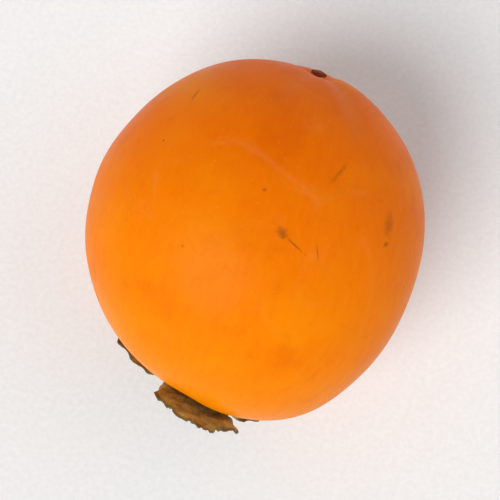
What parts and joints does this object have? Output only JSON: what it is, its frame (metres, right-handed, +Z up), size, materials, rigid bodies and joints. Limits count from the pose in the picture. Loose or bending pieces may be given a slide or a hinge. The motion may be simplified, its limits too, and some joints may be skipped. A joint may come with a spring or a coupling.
{
  "type": "persimmon",
  "caption": "Whole ripe persimmon lying on its side, with its dry four-lobed calyx, clipped stalk stub and dried style; for food, kitchen, market and orchard scenes.",
  "frame": {"origin": "middle of the small flat spot that the fruit rests on", "axes": "+Z up, square to the flat spot; +Y from the calyx towards the apex, as seen from above; +X to the side that the calyx end is fuller on"},
  "size_m": [0.0688, 0.077, 0.0691],
  "materials": {
    "skin": "thin waxy fruit skin, satin with a soft gloss, yellow-orange by the calyx and redder towards the apex",
    "dry_calyx": "dry papery sepals, matt, olive-khaki to dark brown at the margins",
    "stalk_wood": "rough grey-brown bark with a paler clipped end",
    "dry_style": "dried, matt, near black"
  },
  "bodies": {
    "root": {"fruit": "skin", "calyx": "dry_calyx", "peduncle": "stalk_wood", "style_tip": "dry_style"}
  },
  "joints": []
}
